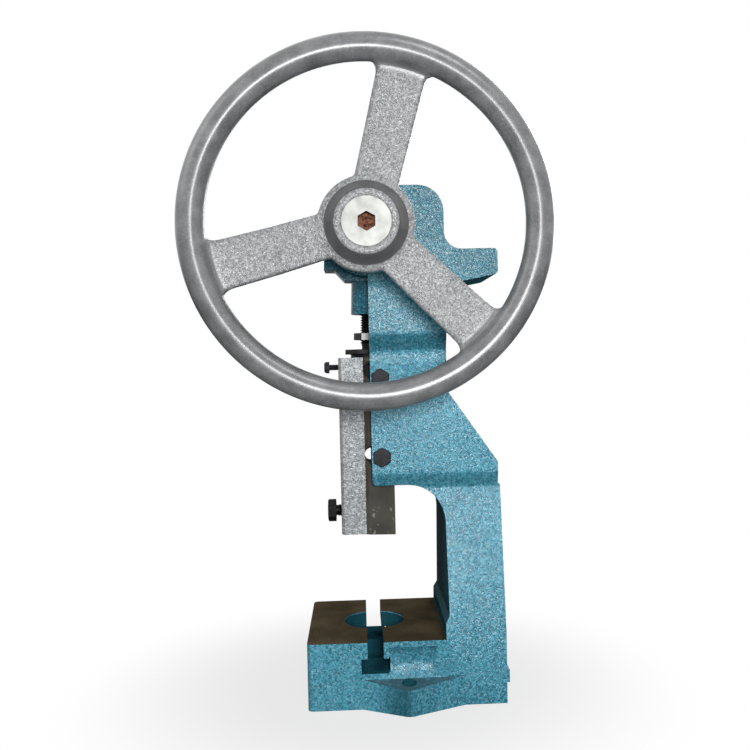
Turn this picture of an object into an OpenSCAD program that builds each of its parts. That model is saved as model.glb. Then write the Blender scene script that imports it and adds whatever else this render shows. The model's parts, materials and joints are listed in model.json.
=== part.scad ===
// Hand-wheel bench press for grommets and eyelets, in millimetres.
// The origin lies on the bench, under the axis of the ram. The table faces -Y, the wheel is on +X.

/* [Table and base] */
// Width of the table
table_w = 118; // [110:1:140]
// From the ram axis to the front edge of the table
table_front = 50.5; // [44:0.5:65]
// Height of the machined table above the bench
table_z = 49; // [44:1:60]
// Width of the T-slot at its neck
slot_neck_w = 12; // [8:0.5:16]
// Depth of the neck of the T-slot
slot_neck_h = 11; // [6:0.5:13]
// Width of the wide part of the T-slot
slot_wide_w = 21.5; // [18:0.5:26]
// Height of the wide part of the T-slot
slot_wide_h = 12; // [6:0.5:13]
// Diameter of the die hole through the table
die_hole_d = 47; // [32:1:54]
// Width of the base behind the table
base_rear_w = 115; // [96:1:117]
// Height of the bench lugs
lug_h = 22; // [14:1:26]
// Diameter of the bench bolt holes
lug_hole_d = 10.5; // [7:0.5:12]
// From the side of the table out to the bench bolt holes
lug_out = 6; // [4:0.5:8]
// From the ram axis back to the bench bolt holes
lug_back = 24; // [16:1:28]
// Length of a bench lug in front of its bolt hole
lug_nose = 34; // [28:1:36]
// Length of a bench lug behind its bolt hole
lug_tail = 46; // [36:1:50]
// Radius of the rounded tip of a bench lug
lug_tip_r = 10; // [8:0.5:12]
// Depth of the hollow beside the table, above a lug
scoop_d = 5; // [3:0.5:7]

/* [Column and head] */
// From the ram axis back to the column
throat_d = 55.5; // [50:0.5:70]
// Depth of the column, front to back
column_d = 43; // [36:0.5:55]
// Width of the column under the head
column_w = 72; // [66:1:84]
// Height of the underside of the head
head_z = 161; // [150:1:176]
// Radius of the throat under the head
throat_r = 28; // [16:1:32]
// Height of the crankshaft above the bench
crank_z = 352; // [340:1:380]
// Height of the head above the crankshaft
head_rise = 37; // [36:1:50]
// From the ram axis back to the front edge of the cheeks
cheek_front = 1; // [0:0.5:3]
// Wall of the cheeks beside the ram guide
cheek_wall = 7.5; // [6:0.5:12]
// Step in the width of the head above its waist, each side
waist_step = 2.5; // [1:0.5:5]
// From the crankshaft down to the waist of the head
waist_drop = 82; // [76:1:88]
// From the underside of the head up to the top of the rear slope
slope_rise = 71; // [60:1:76]
// Wall behind the crank bay
head_back_wall = 12.5; // [8:0.5:20]
// Radius of the crown at the top of the head
crown_r = 20; // [8:1:24]
// Length of the rear horn
horn_len = 40.5; // [28:0.5:50]
// Height of the rear horn
horn_h = 20; // [14:1:24]
// Drop of the top of the horn below the crankshaft
horn_drop = 12; // [8:1:16]

/* [Crank] */
// Throw of the crank pin
crank_throw = 8; // [5:0.5:9]
// Turn of the crank past its top, in the stored position
rest_turn = 30; // [25:1:35]
// Diameter of the crank pin
pin_d = 26; // [20:1:28]
// Diameter of the near journal
near_journal_d = 34; // [32:1:38]
// Diameter of the far journal
far_journal_d = 24; // [18:1:28]
// Diameter of the seat of the wheel
wheel_seat_d = 28; // [24:1:30]
// Gap between the cheeks in the crank bay
bay_w = 46; // [40:1:47]
// Wall of the crankshaft bushes
bush_wall = 5; // [3:0.5:6]
// Thickness of the flanges of the bushes
bush_flange_t = 3; // [2:0.5:5]
// Length of the collar on the far end of the shaft
collar_len = 10; // [8:1:16]
// Wall of the collar
collar_wall = 8; // [6:0.5:10]

/* [Handwheel] */
// Outer diameter of the wheel
wheel_d = 260; // [220:2:300]
// Thickness of the rim
rim_d = 20; // [16:0.5:26]
// Width of a spoke at the hub
spoke_w_hub = 31; // [24:0.5:36]
// Width of a spoke at the rim
spoke_w_rim = 34.5; // [28:0.5:40]
// Thickness of a spoke
spoke_t = 11; // [8:0.5:14]
// Radius of the fillets where a spoke joins the rim
spoke_fillet = 10; // [5:0.5:14]
// Direction of the first spoke above the rear horizontal
spoke_turn = 75.5; // [70:0.5:84]
// Length of the hub behind the front of the spokes
hub_len = 55; // [45:1:70]
// Diameter of the hub behind the spokes
hub_d = 46; // [42:1:54]
// Diameter of the flange of the hub
hub_flange_d = 68; // [62:1:76]
// Height of the tapered boss on the front of the hub
hub_boss_h = 10; // [9.5:0.5:14]
// Offset of the middle of the rim in front of the spokes at the hub
rim_offset = 6; // [4:0.5:8]
// Diameter of the flat head of the wheel screw
wheel_screw_head_d = 34.6; // [30:0.2:36]
// Thread diameter of the wheel screw
wheel_screw_d = 16; // [12:1:18]
// Length of the thread of the wheel screw
wheel_screw_len = 28; // [20:1:36]
// Width across flats of the socket of the wheel screw
wheel_screw_socket = 11.8; // [8:0.2:13]

/* [Connecting rod] */
// From the crank pin to the ball
rod_len = 121; // [116:0.5:126]
// Wall of the big end round the shells
big_end_wall = 7.5; // [6:0.5:8]
// Wall of the half shells
shell_wall = 3.5; // [2:0.5:4]
// Diameter of the shank
shank_d = 29; // [24:1:32]
// From the end of the shank down to the ball
screw_show = 55; // [51:1:58]
// From the crank pin down to the underside of the ears
ear_reach = 32; // [30:1:34]
// From the crank pin down to the shoulder
shoulder_reach = 40; // [38:1:44]
// Thread diameter of the cap bolts
cap_bolt_d = 8; // [6:1:8]
// Thread diameter of the adjusting screw
ball_screw_d = 14; // [12:1:16]
// Diameter of the ball
ball_d = 19; // [16:0.5:20]
// Gap between the shank and the lock nut
lock_nut_drop = 14.8; // [10:0.2:17]
// Height of the lock nut
lock_nut_h = 5.6; // [4:0.2:7]

/* [Ram] */
// Height of the ram
ram_h = 137; // [124:1:150]
// From the ram axis to the front of the ram
ram_front = 23.5; // [20:0.5:28]
// From the ram axis to the back of the ram
ram_back = 18; // [17.5:0.5:22]
// Width of the painted front of the ram
ram_front_w = 48; // [44:1:50]
// Width of the ram at the back of its guide
ram_guide_w = 56; // [54:1:60]
// Narrowing of the guide towards the front, each side
guide_taper = 2; // [1:0.25:2.5]
// From the ram axis to the edge of the painted front
paint_edge = 4.5; // [4:0.5:7]
// Depth of the bevel behind the painted front
bevel_d = 3.3; // [2:0.1:4]
// Chamfer of the front edges of the ram
ram_chamfer = 2.4; // [1:0.2:4]
// Height of the top of the ram above the ball
ram_top_rise = 21; // [18:0.5:24]
// Diameter of the punch bore
punch_bore_d = 20; // [12:0.5:24]
// Depth of the punch bore
punch_bore_h = 50; // [35:1:52]
// Diameter of the two cross holes
cross_hole_d = 11; // [8:0.5:12]
// Diameter of the lower cross hole behind its near wall
cross_hole_wide_d = 18; // [14:0.5:18]
// Near wall of the lower cross hole
cross_hole_wall = 16; // [10:1:20]
// Height of the lower cross hole above the foot of the ram
cross_hole_low = 61.5; // [60:0.5:66]
// Depth of the upper cross hole below the top of the ram
cross_hole_top = 10; // [9:0.5:12]
// Thread diameter of the punch clamp bolt
clamp_bolt_d = 10; // [8:1:12]
// Height of the punch clamp bolt above the foot of the ram
clamp_bolt_z = 15.5; // [14:0.5:24]
// Thickness of the gib
gib_t = 3; // [2:0.25:5]
// Thread diameter of the gib bolts
gib_bolt_d = 8; // [6:1:10]
// From the underside of the head to the lower gib bolt
gib_bolt_rise = 22; // [16:1:30]
// Distance between the gib bolts
gib_bolt_pitch = 60; // [40:1:64]
// Wall of the gland nut round the ball
gland_wall = 2.2; // [1.6:0.2:2.6]
// Thickness of the hexagon of the gland nut
gland_hex_t = 4; // [3:0.5:6]

/* [Fits] */
// Radial clearance of a running fit
run_gap = 0.05; // [0.02:0.01:0.1]
// Radial clearance of a fixed fit or a thread
fit_gap = 0.05; // [0.02:0.01:0.1]
// Clearance between faces that pass each other
side_gap = 0.3; // [0.2:0.1:0.6]

/* [Hidden] */
$fn = 64;

paint_blue = "steelblue";
paint_grey = "silver";
steel = "slategray";
bright = "gainsboro";
black = "darkslategray";
bronze = "peru";

// Overshoot of a cutting tool past the face that it cuts
cut = 1;

// The crank mechanism in its stored position
pin_y = crank_throw * sin(rest_turn);
pin_z = crank_z + crank_throw * cos(rest_turn);
rod_lean = asin(pin_y / rod_len);
ball_z = pin_z - rod_len * cos(rod_lean);

// The rod follows the crank at a constant rate, so the ball has this play in the ram
ball_side_play = 0.235 * crank_throw;
ball_lift_play = 0.12 * crank_throw;
ball_seat_gap = 0.1;

// Radii of the turned parts
pin_r = pin_d / 2;
ball_r = ball_d / 2;
near_journal_r = near_journal_d / 2;
far_journal_r = far_journal_d / 2;
near_bush_r = near_journal_r + bush_wall;
far_bush_r = far_journal_r + bush_wall;
bush_lip = 4;
bush_seat_margin = 5;
boss_r = near_bush_r + bush_lip + bush_seat_margin;
shell_r = pin_r + shell_wall;
big_end_r = shell_r + big_end_wall;
shank_r = shank_d / 2;
shank_reach = rod_len - screw_show;

// The big end and its ears
rod_side_gap = 3;
rod_half_w = bay_w / 2 - rod_side_gap;
ear_half_w = 0.7 * rod_half_w;
cap_bolt_head_af = 1.6 * cap_bolt_d;
cap_bolt_head_h = 0.65 * cap_bolt_d;
cap_bolt_y = big_end_r + 0.7 * cap_bolt_d;
ear_end = cap_bolt_y + 0.8 * cap_bolt_d;
ear_cap_h = big_end_r / 2;
cap_bolt_depth = 24;

// Widths across the head
guide_half = ram_guide_w / 2;
gib_face_x = guide_half + run_gap + gib_t;
head_half = gib_face_x + cheek_wall;
bearing_half = head_half + waist_step;
bay_back = crank_throw + ear_end + 3;
head_back = bay_back + head_back_wall;
column_back = throat_d + column_d;
// Lean of the back of the column, from the head down to the bench
rear_draft = 1.5;
head_top = crank_z + head_rise;

// Heights of the ram and its guide
ram_top = ball_z + ram_top_rise;
ram_foot = ram_top - ram_h;
guide_top = ram_top + 4.5;
guide_y = -paint_edge + bevel_d;
guide_slope = guide_taper / (ram_back - guide_y);
waist_z = crank_z - waist_drop;
ledge_z = waist_z + 15;
ledge_y = shank_r + 11.5;

// Places of the gib bolts
gib_bolt_y = (cheek_front + ram_back) / 2 - 1;
gib_bolt_z = head_z + gib_bolt_rise;

// Place and size of the small screw that locks the gland nut
lock_screw_r = 2.5;
lock_screw_z = ram_top - 7.5;
lock_screw_out = 7.5;

// The gland nut over the ball
gland_bore_r = ball_r + ball_side_play;
gland_r = gland_bore_r + gland_wall;
gland_skirt = 15.5;
gland_neck_h = 2.5;
gland_hex_r = gland_r + 4.5;
gland_shoulder = 0.8 * ball_r + ball_lift_play;
gland_top = ram_top + gland_neck_h + gland_hex_t;
ball_seat_h = 6;
ball_seat_z = ball_z - ball_r - ball_seat_gap;
ball_neck_r = ball_screw_d / 2 - 1.5;
ball_neck_len = gland_top - ball_z + 2.5;
ball_thread_len = 24;

// Stations along the crankshaft
hub_rear = bearing_half + bush_flange_t + side_gap;
spoke_front = hub_rear + hub_len;
spoke_back = spoke_front - spoke_t;
rim_x = spoke_front + rim_offset;
hub_face = spoke_front + hub_boss_h;
wheel_screw_r = wheel_screw_d / 2;
screw_head_r = wheel_screw_head_d / 2;
screw_head_h = screw_head_r - wheel_screw_r;
screw_land = 0.6;
shaft_end = hub_face - screw_head_h - screw_land - 1;
wheel_screw_tip = shaft_end - wheel_screw_len;
pin_half = rod_half_w + 1;
collar_in = -(bearing_half + bush_flange_t + side_gap);
collar_out = collar_in - collar_len;
collar_r = far_journal_r + collar_wall;
collar_screw_r = 3;
rim_r = rim_d / 2;
rim_mean_r = wheel_d / 2 - rim_r;

// The parallel key of the wheel
key_w = 8;
key_h = 7;
key_sunk = 4;
key_in = hub_rear + 4;
key_len = 40;
key_base = wheel_seat_d / 2 - key_sunk;

// Points of an arc about a centre, from one angle to another
function arc(centre, r, from, to, steps = 8) =
    [for (i = [0 : steps]) centre + r * [cos(from + (to - from) * i / steps),
                                         sin(from + (to - from) * i / steps)]];

// Half width of the guide of the ram at a depth
function guide_at(y) = guide_half - guide_taper + guide_slope * (y - guide_y);

// A flat shape drawn in Y and Z, drawn out along X
module along_x(from, to) {
    translate([from, 0, 0])
        rotate([90, 0, 90])
            linear_extrude(to - from)
                children();
}

// A flat shape drawn in X and Z, drawn out along Y
module along_y(from, to) {
    translate([0, to, 0])
        rotate([90, 0, 0])
            linear_extrude(to - from)
                children();
}

// A round bar along X, on an axis at the given depth and height
module bar_x(from, to, r, y = 0, z = crank_z) {
    translate([from, y, z])
        rotate([0, 90, 0])
            cylinder(h = to - from, r = r);
}

// A round bar along Y, at the given height
module bar_y(from, to, r, z) {
    translate([0, from, z])
        rotate([-90, 0, 0])
            cylinder(h = to - from, r = r);
}

// A hexagon prism across the given flats, standing on Z
module hex(af, h) {
    cylinder(h = h, r = af / sqrt(3), $fn = 6);
}

// Puts a shape drawn about the crank pin, with the rod hanging straight down, into the press
module on_rod() {
    translate([0, pin_y, pin_z])
        rotate([-rod_lean, 0, 0])
            children();
}

// Side view of column and head, without the bearing boss
module head_outline() {
    foot_step = 3;
    foot_step_z = table_z + 11;
    foot_slope = 5;
    nose_r = 2.5;
    boss_meet = 117;
    neck_r = 13;
    tip_r = 3;
    horn_top = crank_z - horn_drop;
    horn_low = horn_top - horn_h;
    horn_tip = head_back + horn_len;
    horn_root = 6;
    horn_root_drop = 14;
    rear_step = 1.8;
    rear_step_drop = 2;
    slope_top = head_z + slope_rise;
    slope_foot = head_z + 16.5;
    polygon(concat(
        [[throat_d - foot_step, 0],
         [throat_d - foot_step, foot_step_z],
         [throat_d, foot_step_z + foot_slope]],
        arc([throat_d - throat_r, head_z - throat_r], throat_r, 0, 90),
        arc([cheek_front + nose_r, head_z + nose_r], nose_r, 270, 180, 4),
        [[cheek_front, crank_z],
         [boss_r * cos(boss_meet), crank_z + boss_r * sin(boss_meet)],
         [cheek_front, head_top]],
        arc([head_back - crown_r, head_top - crown_r], crown_r, 90, 0),
        arc([head_back + neck_r, horn_top + neck_r], neck_r, 180, 270),
        arc([horn_tip - tip_r, horn_top - tip_r], tip_r, 90, 0, 4),
        arc([horn_tip - tip_r, horn_low + tip_r], tip_r, 0, -90, 4),
        [[head_back + horn_root, horn_low - horn_root],
         [head_back, horn_low - horn_root_drop],
         [head_back, slope_top],
         [column_back - rear_step, slope_foot],
         [column_back - rear_step, head_z],
         [column_back, head_z - rear_step_drop],
         [column_back - rear_draft, 0]]
    ));
}

// Front view of column and head: wide foot, tapered column, narrow ram guide, wide bearing head
module head_widths() {
    foot_rise = 2;
    flare_drop = 3;
    flare_rise = 9;
    waist_half = 6;
    side = [
        [base_rear_w / 2, 0],
        [base_rear_w / 2, table_z + foot_rise],
        [column_w / 2, head_z - flare_drop],
        [head_half, head_z + flare_rise],
        [head_half, waist_z - waist_half],
        [bearing_half, waist_z + waist_half],
        [bearing_half, head_top + cut]
    ];
    last = len(side) - 1;
    polygon(concat(side, [for (i = [0 : last]) [-side[last - i][0], side[last - i][1]]]));
}

// The table block with rounded front corners
module table_block() {
    corner_r = 4;
    shy = 2.5;
    overlap = 5;
    back = throat_d - shy;
    root = throat_d + overlap;
    linear_extrude(table_z)
        polygon(concat(
            arc([corner_r - table_w / 2, corner_r - table_front], corner_r, 180, 270, 4),
            arc([table_w / 2 - corner_r, corner_r - table_front], corner_r, 270, 360, 4),
            [[table_w / 2, back], [column_w / 2, back], [column_w / 2, root]],
            [[-column_w / 2, root], [-column_w / 2, back], [-table_w / 2, back]]
        ));
}

// One bench lug beside the table
module bench_lug() {
    overlap = 2;
    root = min(table_w, base_rear_w) / 2 - overlap;
    side = table_w / 2;
    front = lug_back - lug_nose;
    tip_offset = 1;
    centre = [side + lug_out + tip_offset, lug_back];
    linear_extrude(lug_h)
        polygon(concat(
            [[root, lug_back + lug_tail], [root, front], [side, front]],
            arc(centre, lug_tip_r, -20, 38)
        ));
}

// The hollow beside the table, above one bench lug: a cove along the side with a rounded rear end
module table_scoop() {
    rim = 4;
    half_h = (table_z - rim - lug_h) / 2;
    cove_r = (half_h * half_h + scoop_d * scoop_d) / (2 * scoop_d);
    cove_x = table_w / 2 - scoop_d + cove_r;
    cove_z = lug_h + half_h;
    front = slot_wide_w / 2 - cut;
    end_r = 15.5;
    end_y = throat_d + 2.5;
    difference() {
        intersection() {
            translate([cove_x, front, cove_z])
                rotate([-90, 0, 0])
                    cylinder(h = end_y - front, r = cove_r);
            translate([0, 0, lug_h]) cube([table_w, end_y, table_z]);
        }
        bar_x(0, table_w, end_r, end_y, cove_z + 1);
    }
}

// The guide of the ram, with room for the gib on the wheel side
module ram_guide() {
    front = cheek_front - cut;
    back = ram_back + run_gap;
    translate([0, 0, head_z - cut])
        linear_extrude(guide_top - head_z + cut)
            polygon([
                [-guide_at(front) - run_gap, front],
                [-guide_at(back) - run_gap, back],
                [gib_face_x, back],
                [gib_face_x, front]
            ]);
}

// The open bay between the cheeks, where the rod swings
module crank_bay() {
    along_x(-bay_w / 2, bay_w / 2)
        polygon([
            [-boss_r - cut, guide_top - cut],
            [ledge_y, guide_top - cut],
            [ledge_y, ledge_z],
            [bay_back, ledge_z],
            [bay_back, head_top + cut],
            [-boss_r - cut, head_top + cut]
        ]);
}

module frame_casting() {
    foot_half = 15;
    foot_h = 10;
    foot_len = 7.5;
    foot_root = rear_draft + cut;
    wide_z = table_z - slot_neck_h - slot_wide_h;
    half_w = max(table_w, base_rear_w) / 2;
    long = 2 * half_w + 4 * lug_tip_r;
    color(paint_blue) difference() {
        union() {
            intersection() {
                along_x(-half_w, half_w) head_outline();
                along_y(-table_front, column_back + horn_len) head_widths();
            }
            bar_x(-bearing_half, bearing_half, boss_r);
            table_block();
            bench_lug();
            mirror([1, 0, 0]) bench_lug();
            translate([-foot_half, column_back - foot_root, 0])
                cube([2 * foot_half, foot_len + foot_root, foot_h]);
        }
        ram_guide();
        crank_bay();
        bar_x(0, bearing_half + cut, near_bush_r + fit_gap);
        bar_x(-bearing_half - cut, 0, far_bush_r + fit_gap);
        for (z = [0, gib_bolt_pitch])
            bar_x(guide_half, head_half + cut, gib_bolt_d / 2 + fit_gap, gib_bolt_y, gib_bolt_z + z);
        translate([0, 0, -cut]) cylinder(h = table_z + 2 * cut, d = die_hole_d);
        translate([-long / 2, -slot_neck_w / 2, wide_z]) cube([long, slot_neck_w, table_z]);
        translate([-long / 2, -slot_wide_w / 2, wide_z]) cube([long, slot_wide_w, slot_wide_h]);
        table_scoop();
        mirror([1, 0, 0]) table_scoop();
        for (side = [-1, 1])
            translate([side * (table_w / 2 + lug_out), lug_back, -cut])
                cylinder(h = lug_h + 2 * cut, d = lug_hole_d);
    }
}

// A flanged bush on the crank axis; dir is the side of the press that its flange faces
module bush(dir, outer_r, bore_r) {
    color(bronze) mirror([dir > 0 ? 0 : 1, 0, 0]) difference() {
        union() {
            bar_x(bay_w / 2, bearing_half, outer_r);
            bar_x(bearing_half, bearing_half + bush_flange_t, outer_r + bush_lip);
        }
        bar_x(bay_w / 2 - cut, bearing_half + bush_flange_t + cut, bore_r + run_gap);
    }
}

module near_bush() {
    bush(1, near_bush_r, near_journal_r);
}

module far_bush() {
    bush(-1, far_bush_r, far_journal_r);
}

module gib() {
    front = cheek_front + 0.5;
    foot = head_z + 2;
    color(steel) translate([0, 0, foot])
        linear_extrude(guide_top - 2 - foot)
            polygon([
                [guide_at(front) + run_gap, front],
                [gib_face_x, front],
                [gib_face_x, ram_back],
                [guide_at(ram_back) + run_gap, ram_back]
            ]);
}

module gib_bolts() {
    head_h = 0.68 * gib_bolt_d;
    color(black) for (z = [0, gib_bolt_pitch])
        translate([gib_face_x, gib_bolt_y, gib_bolt_z + z])
            rotate([0, 90, 0]) {
                cylinder(h = cheek_wall + head_h / 2, d = gib_bolt_d);
                translate([0, 0, cheek_wall]) hex(1.65 * gib_bolt_d, head_h);
            }
}

module crankshaft() {
    color(steel) difference() {
        union() {
            bar_x(collar_out, -pin_half, far_journal_r);
            bar_x(-pin_half - cut, pin_half + cut, pin_r, pin_y, pin_z);
            bar_x(pin_half, hub_rear, near_journal_r);
            bar_x(hub_rear - cut, shaft_end, wheel_seat_d / 2);
        }
        translate([key_in, -key_w / 2, crank_z + key_base]) cube([key_len, key_w, key_h]);
        bar_x(wheel_screw_tip - 4, shaft_end + cut, wheel_screw_r + fit_gap);
    }
}

// One spoke, drawn along Y from the axis and later turned to its place
module spoke() {
    flare = rim_mean_r - rim_r - spoke_fillet + 1;
    hub_half = spoke_w_hub / 2;
    rim_half = spoke_w_rim / 2;
    root_wall = 6;
    root = wheel_seat_d / 2 + root_wall;
    bend = 0.55 * rim_mean_r;
    dish = rim_offset;
    front = spoke_front - 0.5;
    back = spoke_back + 0.5;
    edge = arc([flare, rim_half + spoke_fillet], spoke_fillet, -90, 0);
    last = len(edge) - 1;
    intersection() {
        along_x(spoke_back - rim_r, spoke_front + rim_r)
            polygon(concat(
                [[root, -hub_half], [root, hub_half]],
                edge,
                [[rim_mean_r - 4, rim_half + spoke_fillet], [rim_mean_r - 4, -rim_half - spoke_fillet]],
                [for (i = [0 : last]) [edge[last - i][0], -edge[last - i][1]]]
            ));
        translate([0, 0, -wheel_d / 4])
            linear_extrude(wheel_d / 2)
                polygon([
                    [back, root - cut],
                    [back, bend],
                    [back + dish + 3.5, rim_mean_r - rim_r + 2],
                    [back + dish + 3.5, rim_mean_r],
                    [front + dish + 1.5, rim_mean_r],
                    [front + dish + 1.5, rim_mean_r - rim_r + 2],
                    [front, bend],
                    [front, root - cut]
                ]);
    }
}

module handwheel() {
    boss_foot_r = hub_flange_d / 2 - 4.6;
    boss_top_r = screw_head_r + 5.2;
    seat_r = wheel_seat_d / 2 + fit_gap;
    sink_z = hub_face - screw_head_h - screw_land;
    color(paint_grey) difference() {
        union() {
            translate([rim_x, 0, crank_z])
                rotate([0, 90, 0])
                    rotate_extrude($fn = 96)
                        translate([rim_mean_r, 0])
                            circle(r = rim_r);
            translate([0, 0, crank_z])
                rotate([0, 90, 0])
                    rotate_extrude()
                        polygon([
                            [0, hub_rear],
                            [hub_d / 2, hub_rear],
                            [hub_d / 2, spoke_back],
                            [hub_flange_d / 2, spoke_back],
                            [hub_flange_d / 2, spoke_front],
                            [boss_foot_r, spoke_front],
                            [boss_top_r, hub_face],
                            [0, hub_face]
                        ]);
            for (i = [0 : 2])
                translate([0, 0, crank_z])
                    rotate([spoke_turn + 120 * i, 0, 0])
                        spoke();
        }
        bar_x(hub_rear - cut, shaft_end + 0.5, seat_r);
        translate([hub_rear - cut, -key_w / 2 - fit_gap, crank_z + key_base])
            cube([shaft_end + 0.5 - hub_rear + cut, key_w + 2 * fit_gap, key_h + 2 * fit_gap]);
        bar_x(shaft_end - cut, hub_face + cut, wheel_screw_r + fit_gap);
        translate([sink_z, 0, crank_z])
            rotate([0, 90, 0])
                cylinder(h = screw_head_h, r1 = wheel_screw_r + fit_gap, r2 = screw_head_r + fit_gap);
        bar_x(hub_face - screw_land, hub_face + cut, screw_head_r + fit_gap);
    }
}

module wheel_key() {
    color(steel) translate([key_in, -key_w / 2, crank_z + key_base])
        cube([key_len, key_w, key_h]);
}

module wheel_screw() {
    socket_h = 8;
    head_x = hub_face - screw_head_h - screw_land;
    color(bright) difference() {
        union() {
            bar_x(wheel_screw_tip, head_x + cut, wheel_screw_r);
            translate([head_x, 0, crank_z])
                rotate([0, 90, 0])
                    cylinder(h = screw_head_h, r1 = wheel_screw_r, r2 = screw_head_r);
            bar_x(hub_face - screw_land, hub_face, screw_head_r);
        }
        translate([hub_face - socket_h, 0, crank_z])
            rotate([0, 90, 0])
                hex(wheel_screw_socket, socket_h + cut);
    }
}

module shaft_collar() {
    middle = (collar_in + collar_out) / 2;
    color(steel) difference() {
        bar_x(collar_out, collar_in, collar_r);
        bar_x(collar_out - cut, collar_in + cut, far_journal_r + fit_gap);
        translate([middle, 0, crank_z]) cylinder(h = collar_r + cut, r = collar_screw_r + fit_gap);
    }
}

module collar_screw() {
    middle = (collar_in + collar_out) / 2;
    foot = far_journal_r + fit_gap;
    color(black) translate([middle, 0, crank_z + foot]) difference() {
        cylinder(h = collar_wall - fit_gap - 0.5, r = collar_screw_r);
        translate([0, 0, collar_wall / 2]) hex(collar_screw_r, collar_wall);
    }
}

// Half of the round big end; up is 1 for the cap and -1 for the rod
module half_round(r, half_w, up) {
    intersection() {
        bar_x(-half_w, half_w, r, 0, 0);
        translate([-half_w - cut, -r - cut, up > 0 ? 0 : -r - cut])
            cube([2 * (half_w + cut), 2 * (r + cut), r + cut]);
    }
}

// Holes of the cap bolts, from one height to another
module cap_bolt_holes(from, to, r) {
    for (side = [-1, 1])
        translate([0, side * cap_bolt_y, from])
            cylinder(h = to - from, r = r);
}

module connecting_rod() {
    shoulder_half = shank_r + 5.5;
    slope = shoulder_reach - ear_reach;
    color(paint_blue) on_rod() difference() {
        union() {
            half_round(big_end_r, rod_half_w, -1);
            along_x(-ear_half_w, ear_half_w)
                polygon([
                    [-ear_end, 0],
                    [-ear_end, -ear_reach],
                    [-shoulder_half - slope, -ear_reach],
                    [-shoulder_half, -shoulder_reach],
                    [shoulder_half, -shoulder_reach],
                    [shoulder_half + slope, -ear_reach],
                    [ear_end, -ear_reach],
                    [ear_end, 0]
                ]);
            translate([0, 0, -shank_reach]) cylinder(h = shank_reach - ear_reach, r = shank_r);
        }
        bar_x(-rod_half_w - cut, rod_half_w + cut, shell_r + fit_gap, 0, 0);
        cap_bolt_holes(-cap_bolt_depth - 2, cut, cap_bolt_d / 2 + fit_gap);
        translate([0, 0, -shank_reach - cut])
            cylinder(h = ball_thread_len + 2 + cut, d = ball_screw_d + 2 * fit_gap);
    }
}

module rod_cap() {
    color(paint_blue) on_rod() difference() {
        union() {
            half_round(big_end_r, rod_half_w, 1);
            along_x(-ear_half_w, ear_half_w)
                polygon([[-ear_end, 0], [ear_end, 0], [ear_end, ear_cap_h], [-ear_end, ear_cap_h]]);
        }
        bar_x(-rod_half_w - cut, rod_half_w + cut, shell_r + fit_gap, 0, 0);
        cap_bolt_holes(-cut, ear_cap_h + cut, cap_bolt_d / 2 + fit_gap);
    }
}

// A bronze half shell round the crank pin
module half_shell(up) {
    color(bronze) on_rod() difference() {
        half_round(shell_r, rod_half_w, up);
        bar_x(-rod_half_w - cut, rod_half_w + cut, pin_r + run_gap, 0, 0);
    }
}

module lower_shell() {
    half_shell(-1);
}

module upper_shell() {
    half_shell(1);
}

module cap_bolts() {
    color(black) on_rod() for (side = [-1, 1])
        translate([0, side * cap_bolt_y, 0]) {
            translate([0, 0, -cap_bolt_depth])
                cylinder(h = cap_bolt_depth + ear_cap_h + cut, d = cap_bolt_d);
            translate([0, 0, ear_cap_h]) hex(cap_bolt_head_af, cap_bolt_head_h);
        }
}

module ball_screw() {
    top = -shank_reach + ball_thread_len;
    neck = -rod_len + ball_neck_len;
    color(black) on_rod() union() {
        translate([0, 0, neck]) cylinder(h = top - neck, d = ball_screw_d);
        translate([0, 0, -rod_len]) cylinder(h = ball_neck_len + cut, r = ball_neck_r);
        translate([0, 0, -rod_len]) sphere(r = ball_r);
    }
}

module lock_nut() {
    nut_af = 1.5 * ball_screw_d;
    top = -shank_reach - lock_nut_drop;
    color(black) on_rod() translate([0, 0, top - lock_nut_h]) difference() {
        rotate([0, 0, 30]) hex(nut_af, lock_nut_h);
        translate([0, 0, -cut]) cylinder(h = lock_nut_h + 2 * cut, d = ball_screw_d + 2 * fit_gap);
    }
}

// A hole right across the ram, with a chamfer at both mouths
module cross_hole(z, far_d = cross_hole_d) {
    chamfer = 2;
    half = guide_half + cut;
    mouth = guide_at(cheek_front);
    bar_x(-half, half, cross_hole_d / 2, cheek_front, z);
    bar_x(-half, mouth - cross_hole_wall, far_d / 2, cheek_front, z);
    for (side = [0, 1])
        mirror([side, 0, 0])
            translate([mouth - chamfer, cheek_front, z])
                rotate([0, 90, 0])
                    cylinder(h = 2 * chamfer, r1 = cross_hole_d / 2, r2 = cross_hole_d / 2 + 2 * chamfer);
}

module ram() {
    front_half = ram_front_w / 2;
    side = [
        [front_half - ram_chamfer, -ram_front],
        [front_half, -ram_front + ram_chamfer],
        [front_half, -paint_edge],
        [guide_half - guide_taper, guide_y],
        [guide_half, ram_back]
    ];
    last = len(side) - 1;
    color(paint_grey) difference() {
        translate([0, 0, ram_foot])
            linear_extrude(ram_h)
                polygon(concat(side, [for (i = [0 : last]) [-side[last - i][0], side[last - i][1]]]));
        translate([0, 0, ball_seat_z - ball_seat_h])
            cylinder(h = ram_h, r = gland_r + fit_gap);
        translate([0, 0, ram_foot - cut]) cylinder(h = punch_bore_h + cut, d = punch_bore_d);
        cross_hole(ram_foot + cross_hole_low, cross_hole_wide_d);
        cross_hole(ram_top - cross_hole_top);
        bar_y(-ram_front - cut, 0, clamp_bolt_d / 2 + fit_gap, ram_foot + clamp_bolt_z);
        bar_y(-ram_front - cut, 0, lock_screw_r + fit_gap, lock_screw_z);
    }
}

module ball_seat() {
    color(steel) translate([0, 0, ball_seat_z - ball_seat_h])
        cylinder(h = ball_seat_h, r = gland_r);
}

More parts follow.
